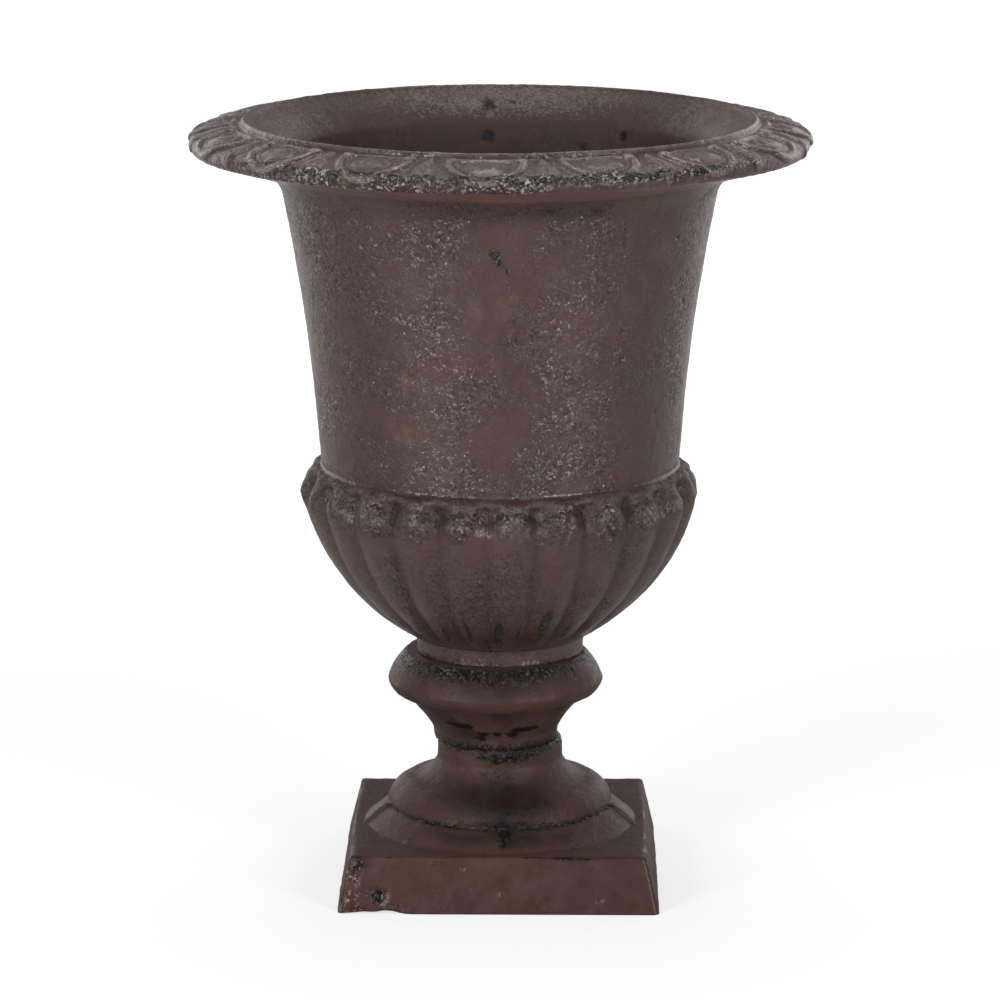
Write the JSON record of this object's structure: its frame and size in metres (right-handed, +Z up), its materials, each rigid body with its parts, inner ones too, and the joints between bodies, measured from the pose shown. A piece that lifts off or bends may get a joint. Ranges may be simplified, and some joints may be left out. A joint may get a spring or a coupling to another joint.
{
  "type": "metal flower pot",
  "caption": "Cast-iron garden urn: flared bell on a lobed bowl, egg-and-dart rim, turned knop and square plinth, bolted together down its middle.",
  "frame": {"origin": "middle of the plinth's underside, on the floor", "axes": "+Z up along the axis of the bowl, front towards -Y, plinth sides along X and Y"},
  "size_m": [0.2311, 0.2312, 0.2887],
  "materials": {
    "urn_iron": "sand-cast iron under a dark rust-brown paint, satin with glossy tarry patches",
    "plated_steel": "zinc plated, dulled"
  },
  "bodies": {
    "root": {"foot": "urn_iron", "knop": "urn_iron", "bowl": "urn_iron", "bowl_washer": "plated_steel", "foot_washer": "plated_steel", "tie_bolt": "plated_steel", "tie_nut": "plated_steel"}
  },
  "joints": []
}
